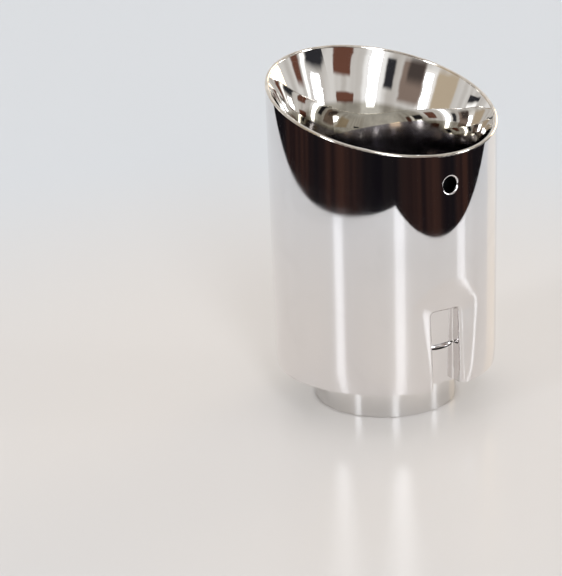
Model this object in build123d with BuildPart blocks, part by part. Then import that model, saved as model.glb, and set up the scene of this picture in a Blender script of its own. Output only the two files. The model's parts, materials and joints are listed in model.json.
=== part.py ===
"""Slant-cut double-wall exhaust tip, standing on its inlet sleeve.

The axis of the tip is Z. The short side of the slanted mouth, the drain hole and the pocket face -Y.
The origin is the centre of the sleeve's inlet end. All sizes are in millimetres and degrees.
"""
import os
from math import cos, radians, tan

from build123d import *

# Inlet sleeve
sleeve_diameter = 64.0
sleeve_wall = 1.5
sleeve_length = 60.0
sleeve_reach = 17.6
sleeve_edge_radius = 0.4

# Outer shell
shell_diameter = 100.0
shell_wall = 0.8
shell_length = 118.5
slant_angle = 18.5
inlet_turn_height = 9.5
inlet_turn_depth = 0.6

# Drain hole in the short side of the shell, with a rolled-in rim
drain_diameter = 7.0
drain_rim_radius = 0.65
drain_below_mouth = 12.2

# Pocket pressed into the shell's inlet edge
pocket_width = 14.0
pocket_height = 33.8
pocket_depth = 7.8
pocket_corner_radius = 1.5
pocket_floor_radius = 0.8
pocket_edge_radius = 2.5

# Shoulder that slopes out from the pocket's edges to the round of the shell, deeper at the pocket's top
shoulder_depth = 3.6
shoulder_inlet_depth = 1.6
shoulder_side_angle = 9.0
shoulder_top_angle = 18.0
shoulder_corner_radius = 16.0
shoulder_radius = 12.0

# Louvre pressed into the pocket's floor, open at its upper edge
louvre_width = 13.0
louvre_depth = 1.8
louvre_height = 17.2
slit_width = 15.0
slit_height = 0.8

# Inner liner; a flare evenness of 1 would be a straight cone, and less bells it out towards the lip
liner_wall = 0.8
liner_clearance = 0.15
neck_diameter = 80.0
flare_depth = 21.5
flare_evenness = 0.35
reducer_height = 12.0
collar_lap = 15.0

# Places that follow from the sizes above
shell_radius = shell_diameter / 2
sleeve_radius = sleeve_diameter / 2
neck_radius = neck_diameter / 2
mouth_radius = shell_radius - shell_wall - liner_clearance - liner_wall
lip_radius = (shell_wall + liner_wall) / 2
lip_middle = shell_radius - lip_radius
shell_base = sleeve_reach
turn_top = shell_base + inlet_turn_height
mouth_height = shell_base + shell_length
slope = tan(radians(slant_angle))
neck_foot_depth = mouth_height - neck_radius * slope - sleeve_length - reducer_height
neck_depth = neck_foot_depth - flare_depth
flare_growth = mouth_radius - neck_radius
flare_foot_slope = flare_evenness * flare_growth / flare_depth
stretch = 1 / cos(radians(slant_angle))
shell_top = mouth_height + shell_radius * slope
drain_height = mouth_height - shell_radius * slope - drain_below_mouth
slit_base = shell_base + louvre_height
pocket_floor = shell_radius - pocket_depth
slit_depth = pocket_floor_radius + louvre_depth + 2 * shell_wall
shoulder_foot = -shoulder_depth / 10
shoulder_head = 2 * shoulder_depth
side_slope = tan(radians(shoulder_side_angle))
top_slope = tan(radians(shoulder_top_angle))
drain_depth = 3 * shell_wall
front_plane = Plane.XZ
collar_plane = Plane.XY.offset(sleeve_length)
drain_plane = Plane((0, -shell_radius, drain_height), x_dir=(1, 0, 0), z_dir=(0, -1, 0))
shoulder_plane = Plane(
    (0, shoulder_inlet_depth - shell_radius, shell_base),
    x_dir=(1, 0, 0),
    z_dir=(0, -pocket_height, shoulder_depth - shoulder_inlet_depth),
)


def slanted_plane(below_mouth):
    """Plane parallel to the mouth, at a depth below it measured along the axis."""
    return Plane((0, 0, mouth_height - below_mouth)).rotated((slant_angle, 0, 0))


def flare_radius(share):
    """Radius of the flare at a share of its depth, from 0 at the mouth to 1 at the neck."""
    spread = flare_evenness * (1 - share) + (1 - flare_evenness) * (1 - share) ** 2
    return neck_radius + flare_growth * spread


def neck_radius_at(share):
    """Radius of the neck at a share of its depth; its taper starts as the flare's and fades to none."""
    return neck_radius - flare_foot_slope * neck_depth / 3 * (1 - (1 - share) ** 3)


def shell_body(inset):
    """Solid inside the surface that lies inset below the shell's outer surface."""
    radius = shell_radius - inset
    with BuildPart() as body:
        with BuildSketch(front_plane):
            with BuildLine():
                turn = TangentArc(
                    (radius, turn_top), (radius - inlet_turn_depth, shell_base), tangent=(0, -1)
                )
                Polyline(turn @ 1, (0, shell_base), (0, shell_top), (radius, shell_top), turn @ 0)
            make_face()
        revolve(axis=Axis.Z)
        for level, corner in (
            (shoulder_foot, pocket_corner_radius),
            (shoulder_head, shoulder_corner_radius),
        ):
            with BuildSketch(shoulder_plane.offset(level - inset)):
                RectangleRounded(
                    pocket_width + 2 * (level / side_slope + inset),
                    2 * (pocket_height + level / top_slope + inset),
                    corner + inset,
                )
        loft(ruled=True, mode=Mode.SUBTRACT)
        outline = edges(Select.LAST).sort_by(Axis.Z)[-1]
        fillet(outline, shoulder_radius - inset)
        with BuildSketch(front_plane.offset(pocket_floor - inset)):
            with Locations((0, shell_base)):
                RectangleRounded(
                    pocket_width + 2 * inset,
                    2 * (pocket_height + inset),
                    pocket_corner_radius + inset,
                )
        extrude(amount=shell_radius, mode=Mode.SUBTRACT)
        brow = edges(Select.LAST).filter_by(GeomType.BSPLINE).sort_by(Axis.Y)[-1]
        fillet(brow, pocket_edge_radius - inset)
        floor = faces().filter_by(Axis.Y).sort_by(Axis.Y)[0]
        fillet(floor.edges().sort_by(Axis.Z)[1:], pocket_floor_radius + inset)
        with BuildSketch(front_plane.offset(pocket_floor - inset)):
            with Locations((0, slit_base)):
                Ellipse(louvre_width / 2 + inset, louvre_depth + inset)
            with Locations((0, slit_base)):
                Rectangle(
                    2 * louvre_width,
                    2 * louvre_depth,
                    align=(Align.CENTER, Align.MIN),
                    mode=Mode.SUBTRACT,
                )
        louvre_axis = Axis((0, inset - pocket_floor, slit_base), (1, 0, 0))
        revolve(axis=louvre_axis, revolution_arc=90, mode=Mode.SUBTRACT)
    return body.part


def liner_body(growth):
    """Solid inside the surface that lies growth behind the liner's polished face."""
    bell = [(flare_depth * share, flare_radius(share)) for share in (0, 0.25, 0.5, 0.75, 1)]
    bell += [(flare_depth + neck_depth * share, neck_radius_at(share)) for share in (0.25, 0.5, 0.75, 1)]
    foot_depth, foot_radius = bell[-1]
    with BuildPart() as body:
        for below_mouth, radius in bell:
            with BuildSketch(slanted_plane(below_mouth)):
                Ellipse(radius + growth, (radius + growth) * stretch)
        loft()
        with BuildSketch(slanted_plane(foot_depth)):
            Ellipse(foot_radius + growth, (foot_radius + growth) * stretch)
        with BuildSketch(collar_plane):
            Circle(sleeve_radius + growth)
        loft(ruled=True)
        with BuildSketch(collar_plane):
            Circle(sleeve_radius + growth)
        extrude(amount=-collar_lap)
    return body.part


mouth_plane = slanted_plane(0)

with BuildPart() as inlet_sleeve:
    with BuildSketch():
        Circle(sleeve_radius)
        Circle(sleeve_radius - sleeve_wall, mode=Mode.SUBTRACT)
    extrude(amount=sleeve_length)
    fillet(edges().filter_by(GeomType.CIRCLE), sleeve_edge_radius)

with BuildPart() as inner_liner:
    add(liner_body(liner_wall))
    add(liner_body(0), mode=Mode.SUBTRACT)
    with BuildLine(mouth_plane):
        lip_path = EllipticalCenterArc((0, 0), lip_middle, lip_middle * stretch, arc_size=360)
    with BuildSketch(Plane(lip_path @ 0, x_dir=(-1, 0, 0), z_dir=lip_path % 0)):
        with BuildLine():
            crown = CenterArc((0, 0), lip_radius, 0, 180)
            Line(crown @ 1, crown @ 0)
        make_face()
    sweep(path=lip_path)

with BuildPart() as outer_shell:
    add(shell_body(0))
    add(shell_body(shell_wall), mode=Mode.SUBTRACT)
    split(bisect_by=mouth_plane, keep=Keep.BOTTOM)
    with BuildSketch(front_plane.offset(pocket_floor + pocket_floor_radius)):
        with Locations((0, slit_base)):
            Rectangle(slit_width, slit_height, align=(Align.CENTER, Align.MIN))
    extrude(amount=-slit_depth, mode=Mode.SUBTRACT)
    with Locations(drain_plane):
        Hole(drain_diameter / 2, drain_depth)
    drain_rim = edges(Select.LAST).sort_by(Axis.Y)[0]
    fillet(drain_rim, drain_rim_radius)

os.makedirs("parts", exist_ok=True)
for name, piece in (
    ("inlet_sleeve", inlet_sleeve),
    ("inner_liner", inner_liner),
    ("outer_shell", outer_shell),
):
    piece.part.label = name
    export_step(piece.part, f"parts/{name}.step")
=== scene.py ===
# %% [markdown]
# # A polished exhaust tip on a pale table
# The tip is three sheet-metal pieces welded into one: a round outer shell with a slanted mouth, a flared
# liner inside it, and a short sleeve that slips over the tailpipe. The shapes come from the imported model,
# which is loaded first and is never changed. What is left for Blender is the finish, and on polished metal
# the finish is mostly what the metal reflects, so the surroundings get as much care as the material.

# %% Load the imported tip
import json
from math import cos, pi, radians, sin, tan

import bmesh
import bpy
from mathutils import Matrix, Vector

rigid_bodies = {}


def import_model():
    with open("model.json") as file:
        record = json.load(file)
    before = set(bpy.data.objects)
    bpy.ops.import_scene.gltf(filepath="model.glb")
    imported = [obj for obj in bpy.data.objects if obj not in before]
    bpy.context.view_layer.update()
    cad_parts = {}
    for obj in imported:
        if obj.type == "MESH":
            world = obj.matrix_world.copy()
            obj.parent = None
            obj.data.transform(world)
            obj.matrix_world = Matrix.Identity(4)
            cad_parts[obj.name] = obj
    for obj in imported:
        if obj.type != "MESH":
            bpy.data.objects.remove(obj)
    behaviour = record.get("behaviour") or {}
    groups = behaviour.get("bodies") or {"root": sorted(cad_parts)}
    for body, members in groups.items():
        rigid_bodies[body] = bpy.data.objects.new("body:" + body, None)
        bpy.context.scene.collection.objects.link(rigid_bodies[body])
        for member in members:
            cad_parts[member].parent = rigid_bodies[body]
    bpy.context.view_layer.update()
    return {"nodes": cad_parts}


for leftover in list(bpy.data.objects):
    bpy.data.objects.remove(leftover)
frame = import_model()
print("pieces:", sorted(frame["nodes"]))

# %% [markdown]
# ## Camera
# A lens of about 90 mm stood two thirds of a metre away, a little above the mouth, and had the tip right of
# the middle of the picture. The camera could be aimed with a Track To constraint, but the tip is off centre
# and the horizon leans by about a degree, so it is clearer to look straight at the tip first and then to
# pan, tilt and roll by measured angles.

# %% Camera
photo_azimuth = radians(-34.0)
photo_elevation = radians(15.83)
photo_distance = 0.642
photo_lens = 89.71
nearest_seen = 0.01
aim_point = Vector((0, 0, 0.075))

away = Vector((
    sin(photo_azimuth) * cos(photo_elevation),
    -cos(photo_azimuth) * cos(photo_elevation),
    sin(photo_elevation),
))
camera = bpy.data.objects.new("camera", bpy.data.cameras.new("camera"))
camera.data.lens = photo_lens
camera.data.clip_start = nearest_seen
bpy.context.collection.objects.link(camera)
bpy.context.scene.camera = camera

pan_left = Matrix.Rotation(radians(4.11), 4, "Y")
tilt_down = Matrix.Rotation(radians(-2.07), 4, "X")
roll = Matrix.Rotation(radians(-1.11), 4, "Z")
straight_at_tip = away.to_track_quat("Z", "Y").to_matrix().to_4x4()
stand = Matrix.Translation(aim_point + photo_distance * away)
camera.matrix_world = stand @ straight_at_tip @ pan_left @ tilt_down @ roll
print("camera at", [round(value, 3) for value in camera.matrix_world.translation])

# %% [markdown]
# ## Shader maths as expressions
# A finish is a small sum: so much of this noise, less that mask. Wiring each Math node by hand hides the
# sum, so this class wraps a socket and lets Python's own operators add the nodes. Its one method `node`
# makes everything that isn't plain arithmetic: settings first, then the sockets, by name or by number.

# %% A socket that can be used in sums
class Signal:
    """A value that travels through a node tree."""

    def __init__(self, tree, socket=None):
        self.tree = tree
        self.socket = socket

    def node(self, kind, settings=None, sockets=None, output=0):
        """Adds a node, sets it up, feeds its sockets and returns one of its outputs."""
        made = self.tree.nodes.new(kind)
        for key, value in (settings or {}).items():
            setattr(made, key, value)
        for key, value in (sockets or {}).items():
            if isinstance(value, Signal):
                self.tree.links.new(value.socket, made.inputs[key])
            else:
                made.inputs[key].default_value = value
        return Signal(self.tree, made.outputs[output] if len(made.outputs) else None)

    def parts(self):
        """The three numbers of a vector."""
        apart = self.node("ShaderNodeSeparateXYZ", None, {0: self}).socket.node
        return [Signal(self.tree, number) for number in apart.outputs]

    def math(self, operation, first, second=0.0):
        """One Math node, fed with numbers or signals."""
        return self.node("ShaderNodeMath", {"operation": operation}, {0: first, 1: second})

    def __add__(self, other):
        return self.math("ADD", self, other)

    def __radd__(self, other):
        return self.math("ADD", other, self)

    def __sub__(self, other):
        return self.math("SUBTRACT", self, other)

    def __rsub__(self, other):
        return self.math("SUBTRACT", other, self)

    def __mul__(self, other):
        return self.math("MULTIPLY", self, other)

    def __rmul__(self, other):
        return self.math("MULTIPLY", other, self)

    def blend(self, first, second):
        """Goes from one colour to another as this value goes from 0 to 1."""
        return self.node(
            "ShaderNodeMix", {"data_type": "RGBA"}, {"Factor": self, 6: first, 7: second}, output=2
        )

    def rise(self, low, high):
        """0 below low, 1 above high, with a smooth step between."""
        return self.node(
            "ShaderNodeMapRange",
            {"interpolation_type": "SMOOTHSTEP"},
            {"Value": self, "From Min": low, "From Max": high},
        )

    def band(self, low, high, soft):
        """1 between low and high, falling to 0 over a soft edge outside them."""
        return self.rise(low - soft, low) * (1 - self.rise(high, high + soft))


print("shader maths is ready")

# %% [markdown]
# ## Table
# The tip stands on a white table with a little gloss. A plane that stops in view would need a horizon, so
# the table is a very large disc: the camera looks down far enough to see nothing else. Its gloss matters,
# because the bright windows show in it, and the shell then shows them a second time as soft upright lines.
# A Principled gloss grows too strong at a low angle, so an even share of a Glossy shader is mixed in instead.

# %% Table
table_radius = 6.0
table_segments = 96
table_mesh = bpy.data.meshes.new("table")
shape = bmesh.new()
bmesh.ops.create_circle(shape, cap_ends=True, segments=table_segments, radius=table_radius)
shape.to_mesh(table_mesh)
shape.free()
table = bpy.data.objects.new("table", table_mesh)
bpy.context.collection.objects.link(table)
print("table radius:", table_radius, "m")

# %% [markdown]
# Light from all sides would get under the tip in a bright room, which one studio can't give, so a share of
# the paint glows for the camera and for mirror rays. It lightens the shadow and puts no more light on the
# tip. Close to the tip the mirror rays get less of it, so that the sleeve still shows the shade it stands in.

# %% Blank materials and glowing paint
def blank_material(name):
    """A material with no nodes yet, and a signal to make its nodes with."""
    material = bpy.data.materials.new(name)
    material.use_nodes = True
    material.node_tree.nodes.clear()
    return material, Signal(material.node_tree)


def glowing(start, colour):
    """Surface that gives off a colour and reflects nothing."""
    return start.node(
        "ShaderNodeBsdfPrincipled",
        None,
        {
            "Base Color": (0, 0, 0, 1),
            "Specular IOR Level": 0.0,
            "Emission Color": colour,
            "Emission Strength": 1.0,
        },
    )


print("paint can glow")

# %% Table's paint
warm_white = (0.75, 0.715, 0.685, 1)
cool_white = (0.70, 0.725, 0.755, 1)
glow_share = 0.45
near_mirror_share = 0.6
gloss_share = 0.055
gloss_roughness = 0.24
# Distances from the middle of the table over which the paint changes.
sleeve_edge = (0.031, 0.035)
near_to_far = (0.05, 0.12)
warm_to_cool = (0.1, 0.55)

table_paint, start = blank_material("table_paint")
place = start.node("ShaderNodeTexCoord", output="Object")
reach = start.node("ShaderNodeVectorMath", {"operation": "LENGTH"}, {0: place}, output="Value")
past_sleeve = reach.rise(*sleeve_edge)
table_colour = reach.rise(*warm_to_cool).blend(warm_white, cool_white)
paint = start.node(
    "ShaderNodeBsdfPrincipled", None, {"Base Color": table_colour, "Specular IOR Level": 0.0}
)
camera_ray = start.node("ShaderNodeLightPath", output="Is Camera Ray")
mirror_ray = start.node("ShaderNodeLightPath", output="Is Glossy Ray")
mirror_share = mirror_ray * (near_mirror_share + (1 - near_mirror_share) * reach.rise(*near_to_far))
glow = glow_share * (camera_ray + mirror_share) * past_sleeve
lightened = start.node("ShaderNodeMixShader", None, {0: glow, 1: paint, 2: glowing(start, table_colour)})
gloss = start.node("ShaderNodeBsdfGlossy", None, {"Roughness": gloss_roughness})
table_surface = start.node("ShaderNodeMixShader", None, {0: gloss_share, 1: lightened, 2: gloss})
start.node("ShaderNodeOutputMaterial", None, {"Surface": table_surface})
table_mesh.materials.append(table_paint)
print("table paint has", len(table_paint.node_tree.nodes), "nodes")

# %% [markdown]
# ## Studio
# Chrome shows the place it stands in. Cards and lamps could be put round the tip one by one, but they are
# far away compared with the tip, so the whole studio can be painted on the world by direction: pale walls, a
# plain ceiling, tall windows, and a few darker cards between them. Directions are counted in degrees from
# the camera's side, to the right, and up from the table. A little noise keeps the edges from being ruled.

# %% Directions in the studio
degree = 180 / pi
bearing_wobble = 4.0
height_wobble = 3.0
wobble_scale = 5.0


def from_camera_side(start, vector):
    """Bearing of a vector in degrees, to the right from the camera's side, and its upward part."""
    turned = start.node(
        "ShaderNodeVectorRotate", {"rotation_type": "Z_AXIS"}, {"Vector": vector, "Angle": -photo_azimuth}
    )
    rightward, backward, upward = turned.parts()
    return start.math("ARCTAN2", rightward, 0 - backward) * degree, upward


world = bpy.data.worlds.new("studio")
bpy.context.scene.world = world
world.use_nodes = True
world.node_tree.nodes.clear()
start = Signal(world.node_tree)
looking = start.node("ShaderNodeTexCoord", output="Generated")
uneven = start.node(
    "ShaderNodeTexNoise", None, {"Vector": looking, "Scale": wobble_scale, "Detail": 2.0}
) - 0.5
even_bearing, upward = from_camera_side(start, looking)
bearing = even_bearing + bearing_wobble * uneven
height = start.math("ARCSINE", upward) * degree + height_wobble * uneven
print("the camera stands at bearing 0, height", round(photo_elevation * degree, 1))

# %% Walls and ceiling
drape_scale = 0.07
noise_range = (0.3, 0.7)
back_wall_bearing = (115, 150)
ceiling_height = (48, 70)


def grey(value, warmth=0.0):
    """A neutral colour, or a slightly warm one."""
    return (value * (1 + warmth), value, value * (1 - warmth), 1.0)


def streaks_along(angle, scale):
    """Soft bands from 0 to 1 that change with an angle alone."""
    noise = angle.node(
        "ShaderNodeTexNoise", {"noise_dimensions": "1D"}, {"W": angle, "Scale": scale, "Detail": 1.0}
    )
    return noise.rise(*noise_range)


dark_drape, pale_drape = grey(0.52, 0.05), grey(0.76, 0.02)
back_wall, ceiling = grey(0.85, 0.01), grey(0.75)
front_wall = streaks_along(bearing, drape_scale).blend(dark_drape, pale_drape)
walls = start.math("ABSOLUTE", bearing).rise(*back_wall_bearing).blend(front_wall, back_wall)
studio_colour = height.rise(*ceiling_height).blend(walls, ceiling)
print("walls and ceiling are painted")

# %% Windows and cards
brown = (0.15, 0.065, 0.045, 1)
grey_brown = (0.25, 0.19, 0.16, 1)
dark_brown = (0.07, 0.055, 0.05, 1)
beige = (0.52, 0.43, 0.32, 1)
black = (0.03, 0.03, 0.035, 1)
daylight = (10.0, 10.4, 11.0, 1)
lamplight = (5.0, 4.0, 2.7, 1)
# Name, bearing of the middle, half the width, bottom, top, soft edge and colour; later ones lie over earlier.
cards = [
    ("light round the window ahead", 16, 9, 2, 60, 5.0, grey(1.0)),
    ("light round the left window", -46, 8, 2, 40, 4.0, grey(0.95, 0.02)),
    ("high brown card", 52, 9, 28, 46, 2.0, brown),
    ("low brown card", 48, 10, 6, 11, 1.5, brown),
    ("black card ahead", -1, 3.5, 24, 42, 3.0, black),
    ("grey-brown card", -27, 11, 15, 44, 4.0, grey_brown),
    ("dark top of it", -30, 7, 36, 44, 5.0, dark_brown),
    ("beige card", -68, 11, 4, 40, 4.0, beige),
    ("black card on the right", 84, 8, 29, 39, 3.0, black),
    ("brown strip on the right", 106, 3, 18, 38, 3.0, brown),
    ("white card on the left", -109, 6, 4, 21, 1.5, grey(1.4)),
    ("black strip above it", -109, 7, 25, 28, 1.0, black),
    ("white strip on the right", 97, 1.5, 8, 40, 1.5, grey(1.6)),
    ("window ahead", 16, 4.0, 6, 52, 2.0, daylight),
    ("window on the left", -46, 3.5, 5, 36, 2.0, daylight),
    ("window on the right", 84, 4.0, 9, 20, 2.0, daylight),
    ("warm wall behind on the right", 143, 12.0, 5, 26, 2.0, lamplight),
]
for name, middle, half_width, bottom, top, soft, colour in cards:
    between_sides = bearing.band(middle - half_width, middle + half_width, soft)
    mask = between_sides * height.band(bottom, top, 2 * soft)
    studio_colour = mask.blend(studio_colour, colour)
    print("in the studio:", name)
studio_light = start.node("ShaderNodeBackground", None, {"Color": studio_colour, "Strength": 1.0})
start.node("ShaderNodeOutputWorld", None, {"Surface": studio_light})

# %% [markdown]
# ## Dark floor past the table's edge
# Low on the shell the metal reflects the pale table, but near the mouth the same rays go past the table's
# edge and meet a dark floor. That dark patch with its round lower edge is what makes the metal read as
# chrome. The table here is endless, so the dark floor is a thin sheet lying on it that only mirror rays can
# see: the camera and the shadows ignore it. The table has one corner in front of the tip. Each of its edges
# is a gentle bend, pulled towards a point off its middle, because short straight runs would show as notches.

# %% Dark floor for the reflections
table_corner = Vector((0.085, 0.425))
right_bend, right_end = Vector((0.400, 0.110)), Vector((0.504, -0.256))
left_bend, left_end = Vector((-0.480, 0.420)), Vector((-0.577, -0.448))
right_turn, right_far = Vector((0.570, -0.488)), Vector((1.150, -1.250))
left_turn, left_far = Vector((-0.604, -0.690)), Vector((-1.150, -1.350))
floor_height = 0.0005
floor_spread = 6.0
edge_steps = 24


def bent_edge(first, bend, last):
    """Points along an edge that leaves first and reaches last, pulled towards bend."""
    shares = [step / edge_steps for step in range(edge_steps + 1)]
    return [(1 - s) ** 2 * first + 2 * s * (1 - s) * bend + s**2 * last for s in shares]


table_edge = bent_edge(left_far, left_turn, left_end)
table_edge += bent_edge(left_end, left_bend, table_corner)[1:]
table_edge += bent_edge(table_corner, right_bend, right_end)[1:]
table_edge += bent_edge(right_end, right_turn, right_far)[1:]
to_part = Matrix.Rotation(photo_azimuth, 4, "Z")
shape = bmesh.new()
rungs = []
for across, front in table_edge:
    near = to_part @ Vector((across, -front, floor_height))
    far = to_part @ Vector((floor_spread * across, -floor_spread * front, floor_height))
    rungs.append((shape.verts.new(near), shape.verts.new(far)))
for (near, far), (next_near, next_far) in zip(rungs, rungs[1:]):
    shape.faces.new((near, far, next_far, next_near))
dark_mesh = bpy.data.meshes.new("dark_floor")
shape.to_mesh(dark_mesh)
shape.free()


def mirror_only(mesh):
    """Stage sheet that only mirror rays can see."""
    sheet = bpy.data.objects.new(mesh.name, mesh)
    bpy.context.collection.objects.link(sheet)
    sheet.visible_camera = False
    sheet.visible_diffuse = False
    sheet.visible_shadow = False


mirror_only(dark_mesh)
print("dark floor has", len(dark_mesh.polygons), "panels")

# %% [markdown]
# Boards that run away from the tip show on the metal as upright bands. So the floor is black, and brown only
# along a few boards, which are given by their angle round the tip, counted as in the studio. A noise that
# changes with that angle alone streaks them lengthwise.

# %% Dark floor's paint
streak_scale = 0.09
board_least = 0.2
board_streaks = 0.75
deep_black = (0.007, 0.006, 0.008, 1)
pale_black = (0.012, 0.010, 0.011, 1)
board_brown = (0.046, 0.022, 0.017, 1)
# Angle of the middle, half the width and soft edge of each board.
boards = [(40, 10, 20), (84, 3, 12), (-40, 6, 22), (-88, 6, 18)]

dark_paint, start = blank_material("dark_floor_paint")
spot = start.node("ShaderNodeTexCoord", output="Object")
board_angle, _ = from_camera_side(start, spot)
streaks = streaks_along(board_angle, streak_scale)
streaked = board_least + board_streaks * streaks
dark_colour = streaks.blend(deep_black, pale_black)
for middle, half_width, soft in boards:
    board = board_angle.band(middle - half_width, middle + half_width, soft) * streaked
    dark_colour = board.blend(dark_colour, board_brown)
start.node("ShaderNodeOutputMaterial", None, {"Surface": glowing(start, dark_colour)})
dark_mesh.materials.append(dark_paint)
print("dark floor paint has", len(dark_paint.node_tree.nodes), "nodes")

# %% [markdown]
# ## Low light panel
# Beside the pressed pocket the shell leans over a little, and there it reflects the table close by, in which
# the right window stands taller than the mouth sees it. A window painted on the world is the same from
# everywhere, so the taller part is a small panel half a metre away: near things shift against far ones.

# %% Low light panel for the reflections
panel_bearing = radians(84)
panel_distance = 0.5
panel_half_width = 0.037
panel_bottom, panel_top = 0.10, 0.27

shape = bmesh.new()
panel_corners = []
for side, up in ((-1, panel_bottom), (1, panel_bottom), (1, panel_top), (-1, panel_top)):
    across = panel_distance * sin(panel_bearing) + side * panel_half_width * cos(panel_bearing)
    front = panel_distance * cos(panel_bearing) - side * panel_half_width * sin(panel_bearing)
    panel_corners.append(shape.verts.new(to_part @ Vector((across, -front, up))))
shape.faces.new(panel_corners)
panel_mesh = bpy.data.meshes.new("light_panel")
shape.to_mesh(panel_mesh)
shape.free()
mirror_only(panel_mesh)
panel_paint, start = blank_material("light_panel_paint")
start.node("ShaderNodeOutputMaterial", None, {"Surface": glowing(start, daylight)})
panel_mesh.materials.append(panel_paint)
print("light panel is", round(1000 * (panel_top - panel_bottom)), "mm tall")

# %% [markdown]
# ## Where the polish ends and the painted shade begins
# The wheel reaches the outside of the shell, the lip, the flare and the top of the neck, where the polish is
# tinted browner as a painted reflection. Further in, the raw sheet is tinted dark as painted shade, then
# comes bare steel, and the faces between the two walls are dull sheet tinted dark as the shade between them.
# Painting that by hand would need vertex groups; three measures say it as well: how far a face looks away
# from the axis, from -1 to 1, how far a point lies under the slanted plane of the mouth, and how high it lies
# over the slightly tilted plane below which the bore's painted shade lies.

# %% Measures on the tip
mouth_height = 0.1361
mouth_slope = tan(radians(18.5))
# Tilted plane below which the bore is painted dark as shade; the throat further down is bare.
shade_plane_height = 0.1165
shade_plane_lean_x = 0.11
shade_plane_lean_y = 0.07


def measures(start):
    """Place, how far a face looks away from the axis, depth under the mouth, height over the plane of the
    bore's painted shade.
    """
    place = start.node("ShaderNodeTexCoord", output="Object")
    flat = start.node("ShaderNodeVectorMath", {"operation": "MULTIPLY"}, {0: place, 1: (1, 1, 0)})
    radial = start.node("ShaderNodeVectorMath", {"operation": "NORMALIZE"}, {0: flat})
    normal = start.node("ShaderNodeNewGeometry", output="Normal")
    outward = start.node(
        "ShaderNodeVectorMath", {"operation": "DOT_PRODUCT"}, {0: normal, 1: radial}, output="Value"
    )
    x, y, z = place.parts()
    depth = mouth_height + mouth_slope * y - z
    above = z - shade_plane_lean_x * x + shade_plane_lean_y * y - shade_plane_height
    return place, outward, depth, above


print("the mouth's plane crosses the axis at", 1000 * mouth_height, "mm")

# %% [markdown]
# ## Steel
# The three pieces are bright stainless steel. A plain mirror would look like a drawing, so the polish has
# three faults in it: broad hazy smears from wiping, very fine lines round the axis from the polishing wheel,
# and a slow waviness in the sheet that bends straight reflections a little. Other finishes can lie over the
# polish, some of them painted shade or painted reflection: each has its own colour and roughness, mottled
# like rolled sheet, wherever its mask is 1.

# %% Steel with a polish and other finishes over it
smear_scale = 28.0
wheel_scale = (30.0, 30.0, 2600.0)
mottle_scale = 180.0
wave_scale = 22.0
wave_depth = 0.00002
mirror_roughness = 0.02
smear_shade = 0.95
smear_range = (0.45, 0.75)
line_range = (0.3, 0.8)
mottle_shade = 0.75
mottle_least = 0.75
mottle_spread = 0.5


def shade(colour, share):
    """A darker colour that keeps this share of its light."""
    return tuple(share * value for value in colour[:3]) + (1.0,)


def steel(name, tint, haze, lines, layers):
    """Mirror polish, with (mask, colour, roughness) layers over it; a mask is made from the measures."""
    material, start = blank_material(name)
    place, outward, depth, above = measures(start)
    smears = start.node(
        "ShaderNodeTexNoise", None, {"Vector": place, "Scale": smear_scale, "Detail": 4.0, "Distortion": 0.6}
    ).rise(*smear_range)
    squeezed = start.node("ShaderNodeMapping", None, {"Vector": place, "Scale": wheel_scale})
    wheel = start.node("ShaderNodeTexNoise", None, {"Vector": squeezed, "Scale": 1.0, "Detail": 2.0})
    mottle = start.node("ShaderNodeTexNoise", None, {"Vector": place, "Scale": mottle_scale, "Detail": 5.0})
    slow = start.node("ShaderNodeTexNoise", None, {"Vector": place, "Scale": wave_scale, "Detail": 0.0})

    colour = smears.blend(tint, shade(tint, smear_shade))
    roughness = mirror_roughness + haze * smears + lines * wheel.rise(*line_range)
    mottled = mottle_least + mottle_spread * mottle
    for mask_of, layer_tint, layer_roughness in layers:
        mask = mask_of(outward, depth, above)
        layer_colour = mottle.rise(*noise_range).blend(shade(layer_tint, mottle_shade), layer_tint)
        colour = mask.blend(colour, layer_colour)
        roughness = roughness + mask * (layer_roughness * mottled - roughness)
    wavy = start.node("ShaderNodeBump", None, {"Strength": 1.0, "Distance": wave_depth, "Height": slow})
    surface = start.node(
        "ShaderNodeBsdfPrincipled",
        None,
        {"Base Color": colour, "Metallic": 1.0, "Roughness": roughness, "Normal": wavy},
    )
    start.node("ShaderNodeOutputMaterial", None, {"Surface": surface})
    return material


print("steel can be polished, raw, bare or dull")
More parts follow.
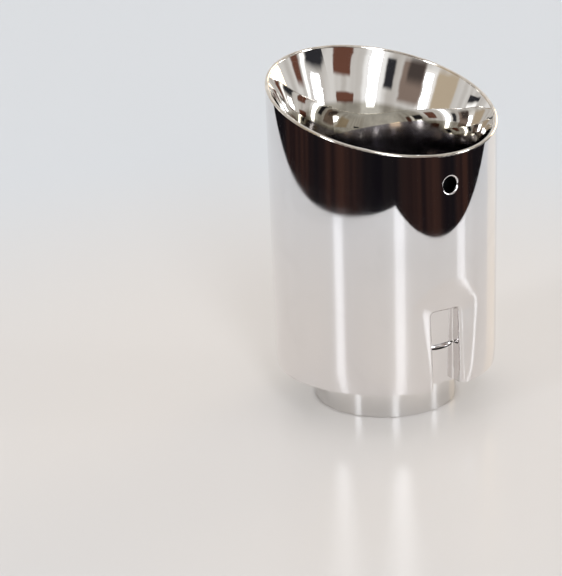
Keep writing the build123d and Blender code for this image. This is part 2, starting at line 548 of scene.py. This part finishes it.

# %% [markdown]
# ## Finish of each piece
# Each piece gets the same steel with its own idea of where the polish ends. The shell is dull inside and
# painted dark there as the shade between the walls, and the sleeve is bare there. The liner is dull and
# painted dark on its back, where the shell hides it, tinted browner in the neck as a painted reflection,
# raw and painted dark as shade in the bore and bare in the throat, and its lip is tinted warm as a painted
# reflection of its warm surroundings.
# A range says where a finish starts and where it is complete: in metres, or for a face by where it looks.

# %% Masks for the finishes
lip_edge = (-0.0003, 0.0003)
under_lip = (0.0003, 0.0008)
flare_foot = (0.0195, 0.0225)
neck_top = (0.0215, 0.0245)
# Edge of the bore's painted shade over the tilted plane, and where it gives way to the bare throat.
painted_shade_edge = (-0.0006, 0.0003)
painted_shade_end = (-0.034, -0.024)
looks_in = (-0.7, -0.5)
looks_along = (0.0, 0.2)
looks_out = (0.3, 0.5)


# Faces that look in: on the shell painted dark as the shade between the walls, in the sleeve bare steel.
def inside(outward, depth, above):
    return 1 - outward.rise(*looks_in)


# The liner's back, where the shell hides it: painted dark as the shade between the walls.
def back(outward, depth, above):
    return outward.rise(*looks_out) * depth.rise(*under_lip)


# The lip: tinted warm as a painted reflection.
def lip(outward, depth, above):
    return 1 - depth.rise(*lip_edge)


# The neck: polish tinted browner as a painted reflection.
def neck(outward, depth, above):
    return depth.rise(*flare_foot) * (1 - outward.rise(*looks_along))


# The bore below the tilted plane: painted dark as shade.
def bore(outward, depth, above):
    return depth.rise(*neck_top) * (1 - above.rise(*painted_shade_edge)) * (1 - outward.rise(*looks_along))


def throat(outward, depth, above):
    return (1 - above.rise(*painted_shade_end)) * (1 - outward.rise(*looks_along))


print("masks:", ", ".join(mask.__name__ for mask in (inside, back, lip, neck, bore, throat)))

# %% Finish of each piece
shell_bright = (0.815, 0.795, 0.79, 1)
liner_bright = (0.84, 0.825, 0.80, 1)
sleeve_bright = (0.82, 0.805, 0.79, 1)
# Painted reflection: the lip tinted warm for the warm surroundings it reflects.
warm_painted_reflection = (0.82, 0.76, 0.68, 1)
# Painted reflection: the neck's polish tinted browner and darker for the dim, warm light it reflects.
browner_painted_reflection = (0.50, 0.475, 0.415, 1)
# Painted shade: raw steel tinted dark for the shade deep in the bore.
raw_with_painted_shade = (0.24, 0.225, 0.24, 1)
bare = (0.44, 0.43, 0.42, 1)
# Painted shade: dull sheet tinted dark for the shade between the two walls.
dull_with_painted_shade = (0.16, 0.16, 0.16, 1)
liner_layers = [
    (lip, warm_painted_reflection, 0.05),
    (neck, browner_painted_reflection, 0.015),
    (bore, raw_with_painted_shade, 0.12),
    (throat, bare, 0.3),
    (back, dull_with_painted_shade, 0.4),
]
finishes = {
    "outer_shell": steel("shell_polish", shell_bright, 0.03, 0.02, [(inside, dull_with_painted_shade, 0.4)]),
    "inner_liner": steel("liner_polish", liner_bright, 0.03, 0.03, liner_layers),
    "inlet_sleeve": steel("sleeve_polish", sleeve_bright, 0.06, 0.05, [(inside, bare, 0.3)]),
}
for name, finish in finishes.items():
    node_mesh = frame["nodes"][name].data
    node_mesh.materials.clear()
    node_mesh.materials.append(finish)
    print(name, "gets", finish.name)

# %% [markdown]
# ## View transform
# The render uses the Standard view transform.

# %% Standard view transform
bpy.context.scene.view_settings.view_transform = "Standard"
